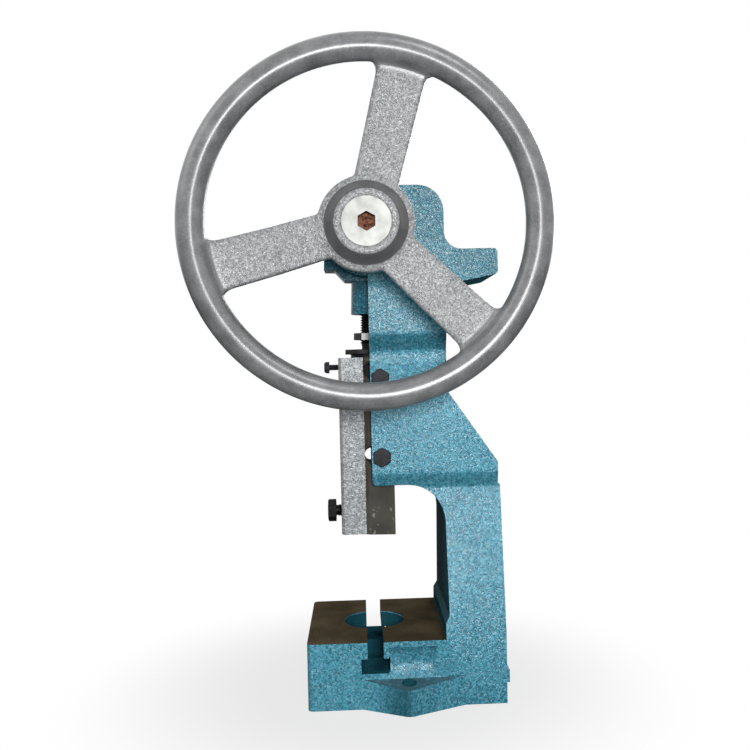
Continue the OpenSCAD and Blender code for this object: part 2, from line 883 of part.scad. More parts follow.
module gland_nut() {
    foot = ram_top - gland_skirt;
    shoulder_z = ball_z + gland_shoulder;
    hole_r = ball_neck_r + 0.36 * crank_throw;
    hole_top_r = ball_neck_r + 0.56 * crank_throw;
    color(black) difference() {
        union() {
            translate([0, 0, foot]) cylinder(h = gland_top - foot, r = gland_r);
            translate([0, 0, ram_top + gland_neck_h])
                rotate([0, 0, 30])
                    cylinder(h = gland_hex_t, r = gland_hex_r, $fn = 6);
        }
        translate([0, 0, foot - cut]) cylinder(h = shoulder_z - foot + cut, r = gland_bore_r);
        translate([0, 0, shoulder_z]) cylinder(h = gland_top - shoulder_z, r1 = hole_r, r2 = hole_top_r);
    }
}

module gland_lock_screw() {
    head_r = 4.6;
    head_h = 4;
    tip = -gland_r - fit_gap;
    neck = -ram_front - lock_screw_out;
    color(steel) difference() {
        union() {
            bar_y(neck, tip, lock_screw_r, lock_screw_z);
            intersection() {
                bar_y(neck - head_h, neck, head_r, lock_screw_z);
                translate([0, neck, lock_screw_z]) sphere(r = head_r * 1.15);
            }
        }
        translate([-head_r - cut, neck - head_h - cut, lock_screw_z - 0.6])
            cube([2 * (head_r + cut), 1.5 + cut, 1.2]);
    }
}

module punch_clamp_bolt() {
    head_h = 0.65 * clamp_bolt_d;
    stand_off = 4.5;
    tip = -punch_bore_d / 2 - 0.4;
    head = -ram_front - stand_off;
    z = ram_foot + clamp_bolt_z;
    color(black) union() {
        bar_y(head - cut, tip, clamp_bolt_d / 2, z);
        translate([0, head, z])
            rotate([90, 0, 0])
                rotate([0, 0, 30])
                    hex(1.6 * clamp_bolt_d, head_h);
    }
}

frame_casting();
near_bush();
far_bush();
gib();
gib_bolts();
crankshaft();
handwheel();
wheel_key();
wheel_screw();
shaft_collar();
collar_screw();
connecting_rod();
rod_cap();
lower_shell();
upper_shell();
cap_bolts();
ball_screw();
lock_nut();
ram();
ball_seat();
gland_nut();
gland_lock_screw();
punch_clamp_bolt();
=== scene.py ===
# Hand-wheel bench press for grommets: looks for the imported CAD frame, in metres.
import json
import math

import bmesh
import bpy
from mathutils import Matrix, Vector

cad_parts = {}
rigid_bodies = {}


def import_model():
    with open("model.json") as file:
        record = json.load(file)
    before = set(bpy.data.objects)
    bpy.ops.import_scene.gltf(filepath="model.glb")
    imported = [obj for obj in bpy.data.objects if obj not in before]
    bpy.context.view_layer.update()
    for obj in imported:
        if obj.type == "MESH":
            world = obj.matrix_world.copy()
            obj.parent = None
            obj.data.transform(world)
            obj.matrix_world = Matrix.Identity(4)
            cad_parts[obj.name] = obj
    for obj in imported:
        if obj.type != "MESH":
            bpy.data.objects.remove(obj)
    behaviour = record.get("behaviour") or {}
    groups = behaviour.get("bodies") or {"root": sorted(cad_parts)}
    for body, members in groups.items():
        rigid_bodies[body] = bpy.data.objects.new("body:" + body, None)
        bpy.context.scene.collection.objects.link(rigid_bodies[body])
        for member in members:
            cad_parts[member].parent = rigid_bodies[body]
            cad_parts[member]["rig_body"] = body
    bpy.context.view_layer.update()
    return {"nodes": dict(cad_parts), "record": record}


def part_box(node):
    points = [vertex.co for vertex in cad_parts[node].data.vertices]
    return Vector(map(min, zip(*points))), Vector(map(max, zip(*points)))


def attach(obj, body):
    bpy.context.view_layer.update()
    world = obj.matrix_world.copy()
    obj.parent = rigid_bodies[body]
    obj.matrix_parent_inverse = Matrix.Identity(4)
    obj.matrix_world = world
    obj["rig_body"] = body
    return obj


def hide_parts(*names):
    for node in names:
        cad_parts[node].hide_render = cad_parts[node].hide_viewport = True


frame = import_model()


# Frame casting: the C-shaped body with table, column and bearing head, cast in grey iron.
# It is sprayed blue with hammer paint, and then its table, foot and bearing faces are
# machined bare. Everything else is fixed to it.
MM = 0.001
weld_distance = 1e-6
flat_angle = math.radians(0.5)
sharp_angle = math.radians(30)
crease_angle = math.radians(35)


class Wire:
    """A socket in a material, so that sums on a surface read as plain expressions."""

    def __init__(self, tree, socket=None):
        self.tree = tree
        self.socket = socket

    def make(self, kind, settings=None, values=None, out=0):
        """Adds a node, sets it up, fills its sockets by name or number, and gives one output."""
        node = self.tree.nodes.new(kind)
        for name, setting in (settings or {}).items():
            setattr(node, name, setting)
        for name, value in (values or {}).items():
            self.plug(node.inputs[name], value)
        return Wire(self.tree, node.outputs[out])

    def plug(self, socket, value):
        """Fills a socket with another wire, a colour or a plain value."""
        if isinstance(value, Wire):
            self.tree.links.new(value.socket, socket)
        elif isinstance(value, tuple) and socket.type == "RGBA" and len(value) == 3:
            socket.default_value = (*value, 1.0)
        else:
            socket.default_value = value

    def sum(self, operation, first, second=0.0):
        """A Math node with the named operation."""
        return self.make("ShaderNodeMath", {"operation": operation}, {0: first, 1: second})

    def __add__(self, other):
        return self.sum("ADD", self, other)

    __radd__ = __add__

    def __mul__(self, other):
        return self.sum("MULTIPLY", self, other)

    __rmul__ = __mul__

    def __sub__(self, other):
        return self.sum("SUBTRACT", self, other)

    def __rsub__(self, other):
        return self.sum("SUBTRACT", other, self)

    def __abs__(self):
        return self.sum("ABSOLUTE", self)

    def __gt__(self, other):
        return self.sum("GREATER_THAN", self, other)

    def __lt__(self, other):
        return self.sum("LESS_THAN", self, other)

    def __or__(self, other):
        return self.sum("MAXIMUM", self, other)

    def step(self, low, high):
        """0 below low, 1 above high, and a soft rise between them."""
        values = {0: self, 1: low, 2: high}
        return self.make("ShaderNodeMapRange", {"interpolation_type": "SMOOTHSTEP"}, values)

    def blend(self, first, second):
        """One colour where this is 0 and another where it is 1."""
        return self.make("ShaderNodeMix", {"data_type": "RGBA"}, {0: self, 6: first, 7: second}, 2)

    def along(self, letter):
        """One of the three parts of a vector."""
        return self.make("ShaderNodeSeparateXYZ", None, {0: self}, letter)


def new_finish(name):
    """A material, its Object coordinates as a wire, and the sockets of its shader."""
    finish = bpy.data.materials.new(name)
    finish.use_nodes = True
    place = Wire(finish.node_tree).make("ShaderNodeTexCoord", out="Object")
    return finish, place, finish.node_tree.nodes["Principled BSDF"].inputs


def noise(place, scale, detail=2.0, stray=0.0):
    """Noise with the given number of lumps to the metre."""
    values = {"Vector": place, "Scale": scale, "Detail": detail, "Distortion": stray}
    return place.make("ShaderNodeTexNoise", None, values)


def bump(height, strength, distance):
    """A normal that follows the relief, with the distance from hollow to ridge in metres."""
    values = {"Height": height, "Strength": strength, "Distance": distance}
    return height.make("ShaderNodeBump", None, values)


def laid_over(finish, place, share, upper):
    """Shows another shader over the finish, as far as the share says."""
    nodes = finish.node_tree.nodes
    lower = Wire(finish.node_tree, nodes["Principled BSDF"].outputs[0])
    both = place.make("ShaderNodeMixShader", None, {0: share, 1: lower, 2: upper})
    place.plug(nodes["Material Output"].inputs["Surface"], both)


def facing(place, letter):
    """How far the surface faces along an axis, from -1 to 1."""
    return place.make("ShaderNodeNewGeometry", out="True Normal").along(letter)


def from_axis(place, letters, middle):
    """Distance from an axis, along the two letters that cross it."""
    shifted = [place.along(letter) - at for letter, at in zip(letters, middle)]
    squares = [part * part for part in shifted]
    return place.sum("SQRT", squares[0] + squares[1])


def worked_copy(node, rounds):
    """A copy of a CAD node whose edges are rounded: each round is a test, a width and its steps."""
    work = bmesh.new()
    work.from_mesh(frame["nodes"][node].data)
    bmesh.ops.remove_doubles(work, verts=work.verts, dist=weld_distance)
    bmesh.ops.dissolve_limit(work, angle_limit=flat_angle, verts=work.verts, edges=work.edges)
    for chosen, width, steps in rounds:
        keen = [
            e for e in work.edges
            if len(e.link_faces) == 2 and e.calc_face_angle() > sharp_angle and chosen(e)
        ]
        bmesh.ops.bevel(
            work, geom=keen, offset=width, segments=steps, profile=0.5,
            affect="EDGES", material=-1, clamp_overlap=True,
        )
    return work


def finished_piece(work, name, slot, finish, *nodes):
    """Turns the work into an object that stands for CAD nodes and rides on their body."""
    for face in work.faces:
        face.smooth = True
    for e in work.edges:
        e.smooth = len(e.link_faces) != 2 or e.calc_face_angle() < crease_angle
    mesh = bpy.data.meshes.new(name)
    work.to_mesh(mesh)
    work.free()
    mesh.materials.append(finish)
    piece = bpy.data.objects.new(name, mesh)
    bpy.context.scene.collection.objects.link(piece)
    even = piece.modifiers.new("even_shading", "WEIGHTED_NORMAL")
    even.keep_sharp = True
    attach(piece, frame["nodes"][nodes[0]]["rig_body"])
    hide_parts(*nodes)
    return piece


def middle_of(e):
    """The middle of an edge."""
    return (e.verts[0].co + e.verts[1].co) / 2


mounts = {mount["name"]: mount for mount in frame["record"]["mounts"]}
joints = {joint["name"]: joint for joint in frame["record"]["behaviour"]["joints"]}
crank_z = joints["crank_turn"]["pos_m"][2]
table_top = mounts["die_hole"]["dims"]["length_mm"] * MM
hole_radius = mounts["die_hole"]["dims"]["r_mm"] * MM
bolt_across = mounts["bench_bolts"]["dims"]["spacing_x_mm"] / 2 * MM
bolt_back = mounts["bench_bolts"]["pos_m"][1]
bolt_radius = mounts["bench_bolts"]["dims"]["hole_r_mm"] * MM
flange_thickness = 3 * MM
boss_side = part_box("near_bush")[1][0] - flange_thickness
boss_radius = 31 * MM
boss_painted_rim = 1.6 * MM
bore_radius = 23 * MM
slot_half = 11 * MM
slot_floor = 25 * MM
slot_step = 38 * MM
slot_drop = 1.2 * MM
lug_root = 58 * MM
lug_foot = 10 * MM
lug_fade = 16 * MM
lug_fall = 0.17
throat_back = 60 * MM
throat_low = table_top + 6 * MM
guide_half = 32 * MM
guide_back = 19 * MM
guide_foot = 160 * MM
guide_top = 266 * MM
throat_high = guide_foot + 3 * MM
head_band_depth = 130 * MM
low_shade_bottom = 10 * MM
low_shade_top = 110 * MM
low_shade_wander = 30 * MM
table_lip = 0.6 * MM
wall_slack = 0.4 * MM
bolt_wall_slack = 0.2 * MM
face_slack = 0.3 * MM
step_slack = 0.5 * MM
edge_slack = 0.1 * MM
throat_rounding = 4.5 * MM
cast_rounding = 2.4 * MM
cut_rounding = 0.35 * MM
fine_lumps = 520.0
paint_strength = 0.6
paint_depth = 1.0 * MM
swell_marks_mm = [(158, 0.0), (171, 1.5), (236, 1.5), (260, -3.5), (279, 1.0), (310, 1.0), (320, 0.0)]
swell_step_mm = 2
# blue_glint is the colour of painted glints, and blue_deep the colour of painted shade.
blue_dark = (0.03, 0.18, 0.26)
blue_light = (0.14, 0.52, 0.69)
blue_glint = (0.62, 0.88, 0.95)
blue_deep = (0.012, 0.075, 0.1)
blue_dusty = (0.06, 0.125, 0.155)
oiled_dark = (0.066, 0.054, 0.034)
oiled_light = (0.13, 0.1, 0.06)


def hammer_paint(place, lumps, dark, light, glint, glints=0.45):
    """Colour and relief of hammer paint: dark hollows and pale ridges as painted shade and light, and
    small painted glints.
    """
    ridges = noise(place, lumps, 1.0, 1.0)
    ripples = noise(place, lumps * 2.3, 1.0)
    relief = ridges * 0.8 + ripples * 0.25
    cloud = noise(place, 22.0, 3.0) - 0.5
    # The tone follows the relief: painted shade in the hollows and painted light on the ridges, with a
    # random cloud over it.
    tone = (relief + cloud * 0.2).step(0.34, 0.74)
    # Painted glints: small bright spots painted into the colour as highlights.
    painted_glints = noise(place, lumps * 1.2, 0.0, 0.6).step(0.62, 0.72)
    colour = (painted_glints * glints).blend(tone.blend(dark, light), glint)
    return colour, relief


def machined_edge(e):
    """Edges that a cutter made after the casting was painted, so they stay keen."""
    at = middle_of(e)
    on_table = abs(at.z - table_top) < edge_slack
    in_slot = abs(at.y) < slot_half and slot_floor < at.z < table_top
    in_bore = math.hypot(at.y, at.z - crank_z) < bore_radius
    in_guide = abs(at.x) < guide_half and at.y < guide_back and guide_foot < at.z < guide_top
    return on_table or in_slot or in_bore or in_guide


def cast_edge(e):
    """Edges that came out of the mould."""
    return not machined_edge(e)


blue_paint, place, shader = new_finish("blue_hammer_paint")
height = place.along("Z")
inward = place.along("Y")
sideways = abs(place.along("X"))
up = facing(place, "Z")
back = facing(place, "Y")
# Towards the head the colour grows darker and carries more painted glints.
near_head = height.step(crank_z - head_band_depth, crank_z)
colour, relief = hammer_paint(
    place, fine_lumps, blue_dark, blue_light, blue_glint, near_head * 0.4 + 0.25
)
below_table = height < table_top - table_lip
below_slot = height < slot_floor
in_slot = (abs(inward) < slot_half) * (height > slot_floor) * (abs(facing(place, "X")) < 0.7)
in_hole = from_axis(place, "XY", (0.0, 0.0)) < hole_radius + wall_slack
in_throat = (back < -0.5) * (inward > hole_radius) * (height > table_top + 1 * MM)
bolt_aside = sideways - bolt_across
bolt_behind = inward - bolt_back
from_bolt = place.sum("SQRT", bolt_aside * bolt_aside + bolt_behind * bolt_behind)
in_bolt_hole = from_bolt < bolt_radius + bolt_wall_slack
on_lug = sideways.step(lug_root, lug_root + lug_fade) * below_slot
lug_shade = 0.8 - back.step(-0.1, 0.3) * 0.45
# Painted shade: the slot, the die hole, the bench bolt holes, the throat walls that face the ram and
# the lug, one side more than the other, are darkened towards blue_deep.
painted_shade = (in_slot | in_hole) * below_table | in_bolt_hole * below_slot
painted_shade = painted_shade | in_throat * 0.85 | on_lug * lug_shade
# Painted shade: the colour darkens towards the floor, where the light falls off, with a wavering edge.
low_shade = 1.0 - (height + noise(place, 40.0, 3.0) * low_shade_wander).step(low_shade_bottom, low_shade_top)
# Painted shade on the faces that look down, above the table.
underside_shade = (0.0 - up).step(0.05, 0.55) * (height > 2 * table_top)
colour = (painted_shade * 0.95 | low_shade * 0.2 | underside_shade * 0.6 | near_head * 0.5).blend(colour, blue_deep)
lug_top = up.step(0.6, 0.9) * (height < slot_floor - 1 * MM) * (1.0 - in_bolt_hole)
dust = lug_top * noise(place, 150.0, 3.0).step(0.1, 0.6)
colour = dust.blend(colour, blue_dusty)
on_table = (up > 0.9) * (abs(height - table_top) < face_slack)
from_crank = from_axis(place, "YZ", (0.0, crank_z))
on_boss = (sideways > boss_side - face_slack) * (from_crank < boss_radius - boss_painted_rim)
on_foot = (up < -0.9) * (height < face_slack)
bare = on_table | on_boss | on_foot
stain = noise(place, 30.0, 4.0) * 0.7 + noise(place, 900.0, 1.0) * 0.3
iron = stain.step(0.35, 0.65).blend(oiled_dark, oiled_light)
cutter = {"Vector": place, "Scale": 300.0, "Distortion": 1.0}
feed_marks = place.make("ShaderNodeTexWave", {"bands_direction": "Y"}, cutter, "Fac")
lumpy = bump(relief * (1.0 - bare) + feed_marks * 0.02 * bare, paint_strength, paint_depth)
place.plug(shader["Base Color"], colour)
place.plug(shader["Roughness"], relief * 0.14 + 0.15)
place.plug(shader["Normal"], lumpy)
shader["Specular IOR Level"].default_value = 0.35
dull = place.make("ShaderNodeBsdfPrincipled", None, {
    "Base Color": bare.blend(colour, iron),
    "Roughness": stain * 0.2 + 0.6,
    "Normal": lumpy,
    "Specular IOR Level": 0.0,
})
laid_over(blue_paint, place, bare | painted_shade | underside_shade, dull)


def throat_edge(e):
    """The edges between the sides and the throat, which the pattern maker rounded most."""
    at = middle_of(e)
    return abs(at.x) > guide_half and at.y < throat_back and throat_low < at.z < throat_high


def swell(z):
    """How far the sides stand out from the CAD at a height: a full belly and a narrow waist."""
    for (low, start), (high, end) in zip(swell_marks_mm, swell_marks_mm[1:]):
        if low * MM <= z <= high * MM:
            share = (z / MM - low) / (high - low)
            return (start + (end - start) * (3 - 2 * share) * share * share) * MM
    return 0.0


body = worked_copy("frame_casting", [
    (throat_edge, throat_rounding, 4),
    (cast_edge, cast_rounding, 3),
    (machined_edge, cut_rounding, 1),
])
for z in range(swell_marks_mm[0][0], swell_marks_mm[-1][0] + swell_step_mm, swell_step_mm):
    bmesh.ops.bisect_plane(
        body, geom=body.verts[:] + body.edges[:] + body.faces[:], dist=weld_distance,
        plane_co=(0, 0, z * MM), plane_no=(0, 0, 1),
    )
for v in body.verts:
    if abs(v.co.x) > guide_half + 1 * MM:
        v.co.x += math.copysign(1, v.co.x) * swell(v.co.z)
    if abs(v.co.y) < slot_half and abs(v.co.z - slot_step) < step_slack:
        v.co.z -= slot_drop
    if abs(v.co.x) > lug_root and lug_foot < v.co.z < slot_floor:
        v.co.z -= (abs(v.co.x) - lug_root) * lug_fall
finished_piece(body, "frame_body", "blue_hammer_paint", blue_paint, "frame_casting")


# Bushes: two flanged bronze bushes, turned and pressed into the bearing bores of the head.
# The crankshaft runs in them, and their flanges stand between head, hub and collar.
def turned_metal(name, dark, light, rough, metallic=1.0):
    """Bare turned or milled metal: fine tool lines, soft stains and a few scratches."""
    finish, place, shader = new_finish(name)
    stain = noise(place, 55.0, 4.0)
    fine = noise(place, 1400.0, 2.0)
    scratch = noise(place, 160.0, 1.0, 6.0).step(0.7, 0.76)
    tone = (stain * 0.7 + fine * 0.35 - scratch * 0.15).step(0.3, 0.75)
    place.plug(shader["Base Color"], tone.blend(dark, light))
    place.plug(shader["Roughness"], stain * 0.22 + (rough - 0.1) + scratch * 0.1)
    place.plug(shader["Normal"], bump(fine + scratch * 0.5, 0.12, 0.2 * MM))
    shader["Metallic"].default_value = metallic
    return finish


def any_edge(e):
    """A test that takes every edge."""
    return True


def rounded_piece(node, width, steps, name, slot, finish):
    """A finished copy of a CAD node, with all its sharp edges rounded alike."""
    finished_piece(worked_copy(node, [(any_edge, width, steps)]), name, slot, finish, node)


bush_rounding = 0.5 * MM
bronze_dark = (0.28, 0.15, 0.06)
bronze_light = (0.5, 0.31, 0.14)
bronze = turned_metal("bronze", bronze_dark, bronze_light, 0.34)
for bush in ("near_bush", "far_bush"):
    rounded_piece(bush, bush_rounding, 2, bush + "_turned", "bronze", bronze)


# Gib: a ground steel strip in the wheel-side wall of the ram guide. It takes up the play of
# the ram, and two bolts press on it from outside.
steel_dark = (0.075, 0.068, 0.056)
steel_light = (0.17, 0.158, 0.135)
machined_steel = turned_metal("machined_steel", steel_dark, steel_light, 0.4, 0.45)
gib_rounding = 0.3 * MM
rounded_piece("gib", gib_rounding, 1, "gib_strip", "machined_steel", machined_steel)


# Gib bolts: two hexagon bolts with black oxide, screwed through the cheek onto the gib. Their
# heads are chamfered all round, so the outer face is nearly a disc.
def black_oxide(name, dark, light):
    """Steel blackened in a hot bath, with a little dust and wear."""
    finish, place, shader = new_finish(name)
    dust = noise(place, 420.0, 3.0)
    wear = noise(place, 90.0, 4.0)
    tone = (dust * 0.6 + wear * 0.6).step(0.4, 0.85)
    place.plug(shader["Base Color"], tone.blend(dark, light))
    place.plug(shader["Roughness"], wear * 0.25 + 0.35)
    place.plug(shader["Normal"], bump(dust, 0.1, 0.2 * MM))
    shader["Specular IOR Level"].default_value = 0.15
    return finish


def corner_edge(axis):
    """A test for the edges that run along an axis, such as the corners of a hexagon."""
    return lambda e: abs((e.verts[0].co - e.verts[1].co).normalized()[axis]) > 0.9


def end_edge(axis, at):
    """A test for the edges that lie in the plane where an axis has the given value."""
    return lambda e: all(abs(v.co[axis] - at) < 0.05 * MM for v in e.verts)


black_dark = (0.012, 0.012, 0.015)
black_light = (0.04, 0.041, 0.05)
black_steel = black_oxide("black_steel", black_dark, black_light)
head_corner = 1.2 * MM
head_chamfer = 1.1 * MM
head_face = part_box("gib_bolts")[1][0]
bolts = worked_copy("gib_bolts", [
    (corner_edge(0), head_corner, 3),
    (end_edge(0, head_face), head_chamfer, 2),
])
finished_piece(bolts, "gib_bolt_heads", "black_steel", black_steel, "gib_bolts")


# Crankshaft and key: a forged steel shaft, turned on its journals and on the crank pin, and
# milled for the parallel key that drives the wheel. It lies in the two bushes.
shaft_rounding = 0.5 * MM
for node in ("crankshaft", "wheel_key"):
    rounded_piece(node, shaft_rounding, 2, node + "_steel", "machined_steel", machined_steel)


# Connecting rod: a cast rod in two halves, clamped round the crank pin by two bolts over
# bronze half shells. It is sprayed with a darker blue hammer paint than the frame, with painted glints.
rod_rounding = 1.0 * MM
shell_rounding = 0.3 * MM
cap_bolt_rounding = 0.6 * MM
rod_light = (0.035, 0.2, 0.28)

rod_paint, place, shader = new_finish("rod_hammer_paint")
colour, relief = hammer_paint(place, fine_lumps, blue_deep, rod_light, blue_light)
place.plug(shader["Base Color"], colour)
place.plug(shader["Roughness"], relief * 0.16 + 0.2)
place.plug(shader["Normal"], bump(relief, 0.3, 0.5 * MM))
shader["Specular IOR Level"].default_value = 0.2
for node in ("connecting_rod", "rod_cap"):
    rounded_piece(node, rod_rounding, 2, node + "_cast", "blue_hammer_paint", rod_paint)
for node in ("lower_shell", "upper_shell"):
    rounded_piece(node, shell_rounding, 1, node + "_turned", "bronze", bronze)
rounded_piece("cap_bolts", cap_bolt_rounding, 2, "cap_bolt_heads", "black_steel", black_steel)


# Adjusting screw and its nut: a black screw with a ball end hangs from the rod, and the ball
# sits in the ram. Turning it sets the ram's height, and the nut locks it under the rod.
def bar(work, radius, low, high, sides=48):
    """A round or many-sided bar along Z, closed at both ends; gives its points."""
    made = bmesh.ops.create_cone(
        work, cap_ends=True, segments=sides, radius1=radius, radius2=radius, depth=high - low,
        matrix=Matrix.Translation((0, 0, (low + high) / 2)),
    )
    return made["verts"]


def thread(work, radius, pitch, low, high):
    """A screw thread along Z: a core with one helical ridge round it."""
    core = radius - 0.6 * pitch
    sunk = core - 0.1 * pitch
    bar(work, core, low, high)
    per_turn = 32
    turns = int((high - low) / pitch) - 1
    flank = [work.verts.new((sunk, 0, low + share * pitch)) for share in (0.05, 0.95)]
    flank.insert(1, work.verts.new((radius, 0, low + 0.5 * pitch)))
    profile = [work.edges.new((flank[i], flank[(i + 1) % 3])) for i in range(3)]
    spun = bmesh.ops.spin(
        work, geom=flank + profile, cent=(0, 0, 0), axis=(0, 0, 1), dvec=(0, 0, pitch / per_turn),
        angle=2 * math.pi * turns, steps=per_turn * turns, use_merge=False,
    )
    last = [g for g in spun["geom_last"] if isinstance(g, bmesh.types.BMVert)]
    work.faces.new(flank)
    work.faces.new(last)


oily_dark = (0.003, 0.003, 0.004)
oily_light = (0.013, 0.013, 0.015)
oily_black = black_oxide("oily_black_steel", oily_dark, oily_light)
rod_length = 121 * MM
rod_pin = Vector(joints["rod_swing"]["pos_m"])
rod_lean = math.asin(rod_pin.y / rod_length)
on_rod = Matrix.Translation(rod_pin) @ Matrix.Rotation(-rod_lean, 4, "X")
screw_radius = 7 * MM
screw_pitch = 2 * MM
ball_radius = 9.5 * MM
neck_radius = 5.5 * MM
neck_top = -rod_length + 30 * MM
screw_top = -42 * MM
screw = bmesh.new()
thread(screw, screw_radius, screw_pitch, neck_top, screw_top)
bar(screw, neck_radius, -rod_length, neck_top)
bmesh.ops.create_uvsphere(
    screw, u_segments=48, v_segments=24, radius=ball_radius,
    matrix=Matrix.Translation((0, 0, -rod_length)),
)
bmesh.ops.recalc_face_normals(screw, faces=screw.faces)
bmesh.ops.transform(screw, matrix=on_rod, verts=screw.verts)
finished_piece(screw, "adjusting_screw", "black_steel", oily_black, "ball_screw")

nut_rounding = 0.5 * MM
nut_black = (0.035, 0.035, 0.04)
sheen_dark = (0.72, 0.72, 0.7)
sheen_light = (0.85, 0.85, 0.83)
nut_steel, place, shader = new_finish("nut_steel_painted_sheen")
# Painted reflection: the flats that face along the shaft are painted near white, as if catching the
# lamp, and the rest stays black.
sheen_flats = abs(facing(place, "X")).step(0.8, 0.95)
grain = noise(place, 300.0, 3.0)
tone = grain.step(0.3, 0.7)
black_flat = tone.blend(black_dark, nut_black)
sheen_flat = tone.blend(sheen_dark, sheen_light)
place.plug(shader["Base Color"], sheen_flats.blend(black_flat, sheen_flat))
place.plug(shader["Roughness"], grain * 0.2 + 0.35)
place.plug(shader["Normal"], bump(grain, 0.1, 0.2 * MM))
shader["Specular IOR Level"].default_value = 0.2
rounded_piece("lock_nut", nut_rounding, 2, "lock_nut_hexagon", "black_steel", nut_steel)


# Ram: a cast steel bar with a painted front and a milled dovetail back that slides in the
# guide of the frame. It has a punch bore in its foot and two cross holes.
# silver_glint is the colour of painted glints on the ram and the wheel.
silver_dark = (0.23, 0.244, 0.256)
silver_light = (0.49, 0.515, 0.535)
silver_glint = (0.86, 0.88, 0.9)
silver_lumps = 430.0
paint_edge = -4.3 * MM
paint_wander = 1.2 * MM
ram_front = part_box("ram")[0][1]
ram_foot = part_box("ram")[0][2]
front_half = 20 * MM
front_rounding = 1.6 * MM
milled_rounding = 0.4 * MM
splash_height = 22 * MM
splash_pale = (0.22, 0.21, 0.19)
milled_dark = (0.03, 0.027, 0.02)
milled_light = (0.078, 0.072, 0.058)


def front_corner(e):
    """The two long corners of the painted front."""
    at = middle_of(e)
    return corner_edge(2)(e) and abs(at.y - ram_front) < edge_slack and abs(at.x) > front_half


ram_finish, place, shader = new_finish("ram_paint")
# Painted glints, and painted shade and light of the relief, come from hammer_paint.
colour, relief = hammer_paint(place, silver_lumps, silver_dark, silver_light, silver_glint)
ragged_edge = place.along("Y") + (noise(place, 220.0, 2.0) - 0.5) * paint_wander
bare = (ragged_edge > paint_edge) | (abs(facing(place, "Z")) > 0.9)
stain = noise(place, 40.0, 4.0)
low_down = place.along("Z") < ram_foot + splash_height
splash = noise(place, 130.0, 3.0, 2.0).step(0.62, 0.64) * low_down
metal = splash.blend(stain.step(0.3, 0.7).blend(milled_dark, milled_light), splash_pale)
place.plug(shader["Base Color"], bare.blend(colour, metal))
place.plug(shader["Roughness"], (relief * 0.14 + 0.16) * (1.0 - bare) + (stain * 0.2 + 0.5) * bare)
ram_relief = relief * (1.0 - bare) + splash * 0.2 * bare
place.plug(shader["Normal"], bump(ram_relief, paint_strength, paint_depth))
shader["Specular IOR Level"].default_value = 0.35
ram_bar = worked_copy("ram", [(front_corner, front_rounding, 3), (any_edge, milled_rounding, 1)])
finished_piece(ram_bar, "ram_bar", "grey_hammer_paint", ram_finish, "ram")


# Ball seat and gland nut: a hardened pad under the ball, and a black hexagon nut screwed into
# the top of the ram that keeps the ball down.
pad_rounding = 0.4 * MM
gland_rounding = 0.6 * MM
rounded_piece("ball_seat", pad_rounding, 1, "ball_pad", "machined_steel", machined_steel)
rounded_piece("gland_nut", gland_rounding, 2, "gland_hexagon", "black_steel", oily_black)


# Lock screw and clamp bolt: a slotted screw of black steel that keeps the gland nut from
# turning, and a black hexagon bolt that clamps the shank of a punch. Both are screwed into the
# ram's front.
def towards_front(at, height):
    """Puts a screw drawn along Z, head end up, onto the front of the ram."""
    return Matrix.Translation((0, at, height)) @ Matrix.Rotation(math.radians(90), 4, "X")


thread_overlap = 0.3 * MM
lock_head_height = 4 * MM
lock_radius = 2.5 * MM
lock_pitch = 0.8 * MM
lock_rounding = 0.25 * MM
core_share = 0.76
low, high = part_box("gland_lock_screw")
lock_middle = (low.z + high.z) / 2
lock_shank = high.y - low.y - lock_head_height + thread_overlap
lock_screw = worked_copy("gland_lock_screw", [(any_edge, lock_rounding, 1)])
for v in lock_screw.verts:
    past_head = v.co.y > low.y + lock_head_height - edge_slack
    if past_head and math.hypot(v.co.x, v.co.z - lock_middle) < lock_radius + edge_slack:
        v.co.x *= core_share
        v.co.z = lock_middle + (v.co.z - lock_middle) * core_share
upright = Matrix.Rotation(math.radians(90), 4, "Y")
bmesh.ops.rotate(lock_screw, cent=(0, 0, lock_middle), matrix=upright, verts=lock_screw.verts)
cad_part = set(lock_screw.verts)
thread(lock_screw, lock_radius, lock_pitch, 0, lock_shank)
ridge = [v for v in lock_screw.verts if v not in cad_part]
bmesh.ops.transform(lock_screw, matrix=towards_front(high.y, lock_middle), verts=ridge)
bmesh.ops.recalc_face_normals(lock_screw, faces=list({f for v in ridge for f in v.link_faces}))
finished_piece(lock_screw, "lock_screw_round", "machined_steel", black_steel, "gland_lock_screw")

clamp_radius = 5 * MM
clamp_pitch = 1.5 * MM
clamp_head_height = 6.5 * MM
clamp_corner = 1.2 * MM
clamp_chamfer = 1.2 * MM
low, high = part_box("punch_clamp_bolt")
clamp_middle = (low.z + high.z) / 2
clamp_length = high.y - low.y
clamp_head_foot = clamp_length - clamp_head_height
clamp_head_radius = (high.z - low.z) / 2
clamp = bmesh.new()
thread(clamp, clamp_radius, clamp_pitch, 0, clamp_head_foot + thread_overlap)
head = bar(clamp, clamp_head_radius, clamp_head_foot, clamp_length, 6)
corners = [e for e in {e for v in head for e in v.link_edges} if corner_edge(2)(e)]
bmesh.ops.bevel(
    clamp, geom=corners, offset=clamp_corner, segments=3, profile=0.5, affect="EDGES", material=-1
)
outer = [e for e in clamp.edges if end_edge(2, clamp_length)(e)]
bmesh.ops.bevel(
    clamp, geom=outer, offset=clamp_chamfer, segments=2, profile=0.5, affect="EDGES", material=-1
)
bmesh.ops.recalc_face_normals(clamp, faces=clamp.faces)
bmesh.ops.transform(clamp, matrix=towards_front(high.y, clamp_middle), verts=clamp.verts)
finished_piece(clamp, "clamp_bolt_hexagon", "black_steel", oily_black, "punch_clamp_bolt")


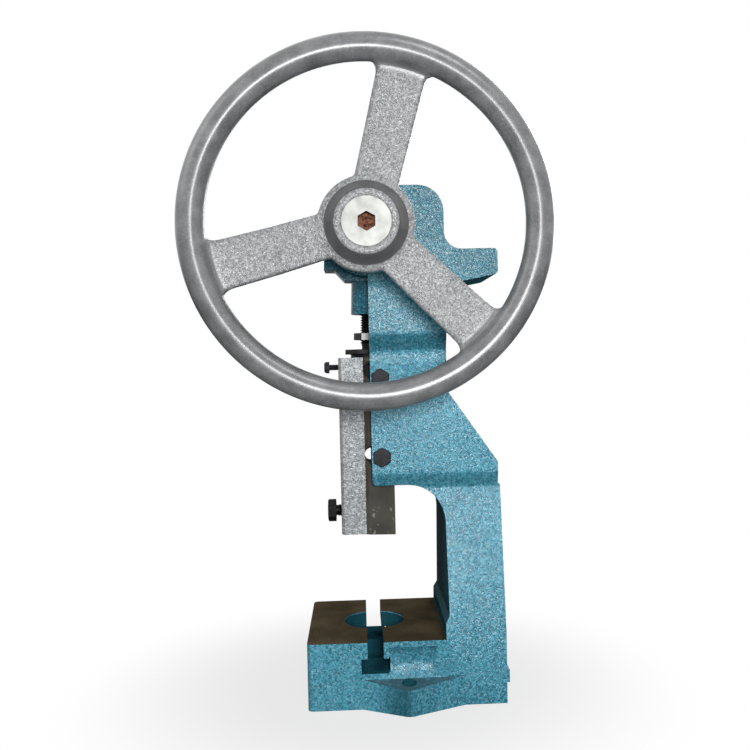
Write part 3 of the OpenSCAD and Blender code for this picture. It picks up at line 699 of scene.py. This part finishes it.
# Handwheel: a grey iron casting with a round rim, three dished spokes and a hub, keyed to the
# shaft and sprayed silver with hammer paint. The rim is fettled smooth, so its paint is finer.
rim_start = 103 * MM
rim_rise = 5 * MM
screw_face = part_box("wheel_screw")[1][0]
hub_foot = screw_face - 9.4 * MM
hub_top = screw_face - 0.6 * MM
flank_in = 21.9 * MM
flank_out = 29.5 * MM
cast_skin = 1.25 * MM
rim_dark = (0.1, 0.102, 0.105)
rim_light = (0.2, 0.203, 0.207)
flank_dark = (0.1, 0.1, 0.102)
flank_light = (0.13, 0.132, 0.134)
spoke_dark = (0.185, 0.191, 0.195)
spoke_light = (0.405, 0.418, 0.428)

wheel_paint, place, shader = new_finish("grey_hammer_paint")
# The spokes and hub get painted glints and painted shade and light of their relief.
colour, relief = hammer_paint(place, fine_lumps, spoke_dark, spoke_light, silver_glint, 0.3)
out = from_axis(place, "YZ", (0.0, crank_z))
on_rim = out.step(rim_start, rim_start + rim_rise)
across = place.along("X")
on_flank = (across > hub_foot) * (across < hub_top) * (out > flank_in) * (out < flank_out)
smooth = on_rim * 0.85 | on_flank
streak = noise(place, 70.0, 4.0)
plain = streak.step(0.3, 0.7).blend(rim_dark, rim_light)
# The boss flank is painted darker: partly painted shade, as it faces sideways away from the lamp, and
# partly a darker smooth paint.
flank = streak.step(0.3, 0.7).blend(flank_dark, flank_light)
rough = (relief * 0.14 + 0.18) * (1.0 - smooth) + (streak * 0.15 + 0.24) * smooth
place.plug(shader["Base Color"], on_flank.blend((on_rim * 0.8).blend(colour, plain), flank))
place.plug(shader["Roughness"], rough)
place.plug(shader["Normal"], bump(relief * (1.0 - smooth), paint_strength, paint_depth))
place.plug(shader["Coat Weight"], on_rim * 0.8)
shader["Coat Roughness"].default_value = 0.28
shader["Specular IOR Level"].default_value = 0.35

wheel = finished_piece(
    worked_copy("handwheel", []), "wheel_casting", "grey_hammer_paint", wheel_paint, "handwheel"
)
cast = wheel.modifiers.new("cast_skin", "REMESH")
cast.mode = "VOXEL"
cast.voxel_size = cast_skin
cast.use_smooth_shade = True
soften = wheel.modifiers.new("cast_fillets", "SMOOTH")
soften.factor = 0.5
soften.iterations = 8


# Wheel screw: a flat-head socket screw, turned bright, let into the hub so that it lies flush.
# Its hexagon socket is rusty inside.
socket_radius = 7.2 * MM
socket_start = 0.4 * MM
screw_rounding = 0.35 * MM
bright_clean = (0.54, 0.55, 0.53)
bright_smudged = (0.42, 0.43, 0.41)
rust_dark = (0.07, 0.022, 0.012)
rust_light = (0.3, 0.13, 0.08)

bright_steel, place, shader = new_finish("bright_steel")
smudge = noise(place, 120.0, 4.0)
out = from_axis(place, "YZ", (0.0, crank_z))
rust = (place.along("X") < screw_face - socket_start) * (out < socket_radius)
flakes = noise(place, 500.0, 4.0)
face = smudge.step(0.35, 0.75).blend(bright_clean, bright_smudged)
brown = flakes.step(0.35, 0.65).blend(rust_dark, rust_light)
place.plug(shader["Base Color"], rust.blend(face, brown))
place.plug(shader["Metallic"], 0.2 * (1.0 - rust))
place.plug(shader["Roughness"], smudge * 0.2 + 0.4 + rust * 0.3)
place.plug(shader["Normal"], bump(flakes * rust + smudge * 0.1, 0.3, 0.3 * MM))
shader["Specular IOR Level"].default_value = 0.2
rounded_piece("wheel_screw", screw_rounding, 2, "wheel_screw_head", "bright_steel", bright_steel)


# Shaft collar: a turned ring on the far end of the shaft, held by a black set screw, so that
# the shaft can't shift.
collar_rounding = 0.8 * MM
set_screw_rounding = 0.25 * MM
rounded_piece("shaft_collar", collar_rounding, 2, "collar_ring", "machined_steel", machined_steel)
rounded_piece("collar_screw", set_screw_rounding, 1, "collar_set_screw", "black_steel", black_steel)


# Studio: a pale floor under the press, a small lamp behind and above the camera, and three
# larger ones for the other sides. The camera stands where the photograph was taken.
def lamp(name, place, aim, wide, tall, power):
    """A flat lamp of the given width, height and watts, turned towards a point."""
    light = bpy.data.lights.new(name, "AREA")
    light.shape = "RECTANGLE"
    light.size = wide
    light.size_y = tall
    light.energy = power
    stand = bpy.data.objects.new(name, light)
    bpy.context.scene.collection.objects.link(stand)
    stand.location = place
    stand.rotation_euler = (Vector(aim) - Vector(place)).to_track_quat("-Z", "Y").to_euler()


middle = (0.0, 0.0, 0.26)
lamp("key_lamp", (0.95, 0.06, 0.34), middle, 0.16, 0.22, 6.0)
lamp("front_lamp", (0.3, -0.8, 0.9), middle, 0.6, 0.6, 1.8)
lamp("top_lamp", (0.6, 0.3, 1.1), middle, 0.3, 0.3, 2.2)
lamp("back_lamp", (-0.9, 0.6, 0.7), middle, 0.6, 0.6, 6.0)

floor_half = 6.0
floor_gap = 0.5 * MM
shadow_share = 0.22
shadow_start = 0.08
shadow_end = 0.26
floor_work = bmesh.new()
bmesh.ops.create_grid(floor_work, x_segments=1, y_segments=1, size=floor_half)
floor_mesh = bpy.data.meshes.new("floor")
floor_work.to_mesh(floor_mesh)
floor_work.free()
floor = bpy.data.objects.new("floor", floor_mesh)
bpy.context.scene.collection.objects.link(floor)
floor.location.z = -floor_gap
floor_finish, place, shader = new_finish("floor_card")
spread = place.make("ShaderNodeVectorMath", {"operation": "LENGTH"}, {0: place}, "Value")
white = spread.step(shadow_start, shadow_end) * shadow_share + (1.0 - shadow_share)
seen_directly = place.make("ShaderNodeLightPath", out="Is Camera Ray")
shader["Base Color"].default_value = (0.25, 0.25, 0.25, 1.0)
shader["Roughness"].default_value = 0.9
shader["Specular IOR Level"].default_value = 0.0
glow = place.make("ShaderNodeEmission", None, {"Color": (1.0, 1.0, 1.0), "Strength": 1.0})
laid_over(floor_finish, place, white * seen_directly, glow)
floor_mesh.materials.append(floor_finish)

world = bpy.data.worlds.new("studio")
bpy.context.scene.world = world
world.use_nodes = True
sky = Wire(world.node_tree)
camera_ray, glossy_ray, clear_ray = [
    sky.make("ShaderNodeLightPath", out=f"Is {ray} Ray") for ray in ("Camera", "Glossy", "Transmission")
]
ambient = 0.05
backdrop = world.node_tree.nodes["Background"].inputs
backdrop["Color"].default_value = (1.0, 1.0, 1.0, 1.0)
sky.plug(backdrop["Strength"], (camera_ray | glossy_ray | clear_ray) * (1.0 - ambient) + ambient)

camera_data = bpy.data.cameras.new("camera")
camera = bpy.data.objects.new("camera", camera_data)
bpy.context.scene.collection.objects.link(camera)
photo_side = 750
focal_px = 900.4
centre_px = (397.8, 356.1)
camera_data.sensor_width = 36.0
camera_data.lens = focal_px / photo_side * camera_data.sensor_width
camera_data.shift_x = (photo_side / 2 - centre_px[0]) / photo_side
camera_data.shift_y = (centre_px[1] - photo_side / 2) / photo_side
camera_data.clip_start = 0.05
camera_turn = 2.54
camera_roll = -1.36
camera.location = (0.7219, -0.008, 0.2594)
heading = Matrix.Rotation(math.radians(90 - camera_turn), 4, "Z")
level = Matrix.Rotation(math.radians(90), 4, "X")
roll = Matrix.Rotation(math.radians(camera_roll), 4, "Z")
camera.rotation_euler = (heading @ level @ roll).to_euler()
bpy.context.scene.camera = camera
bpy.context.scene.view_settings.view_transform = "Standard"
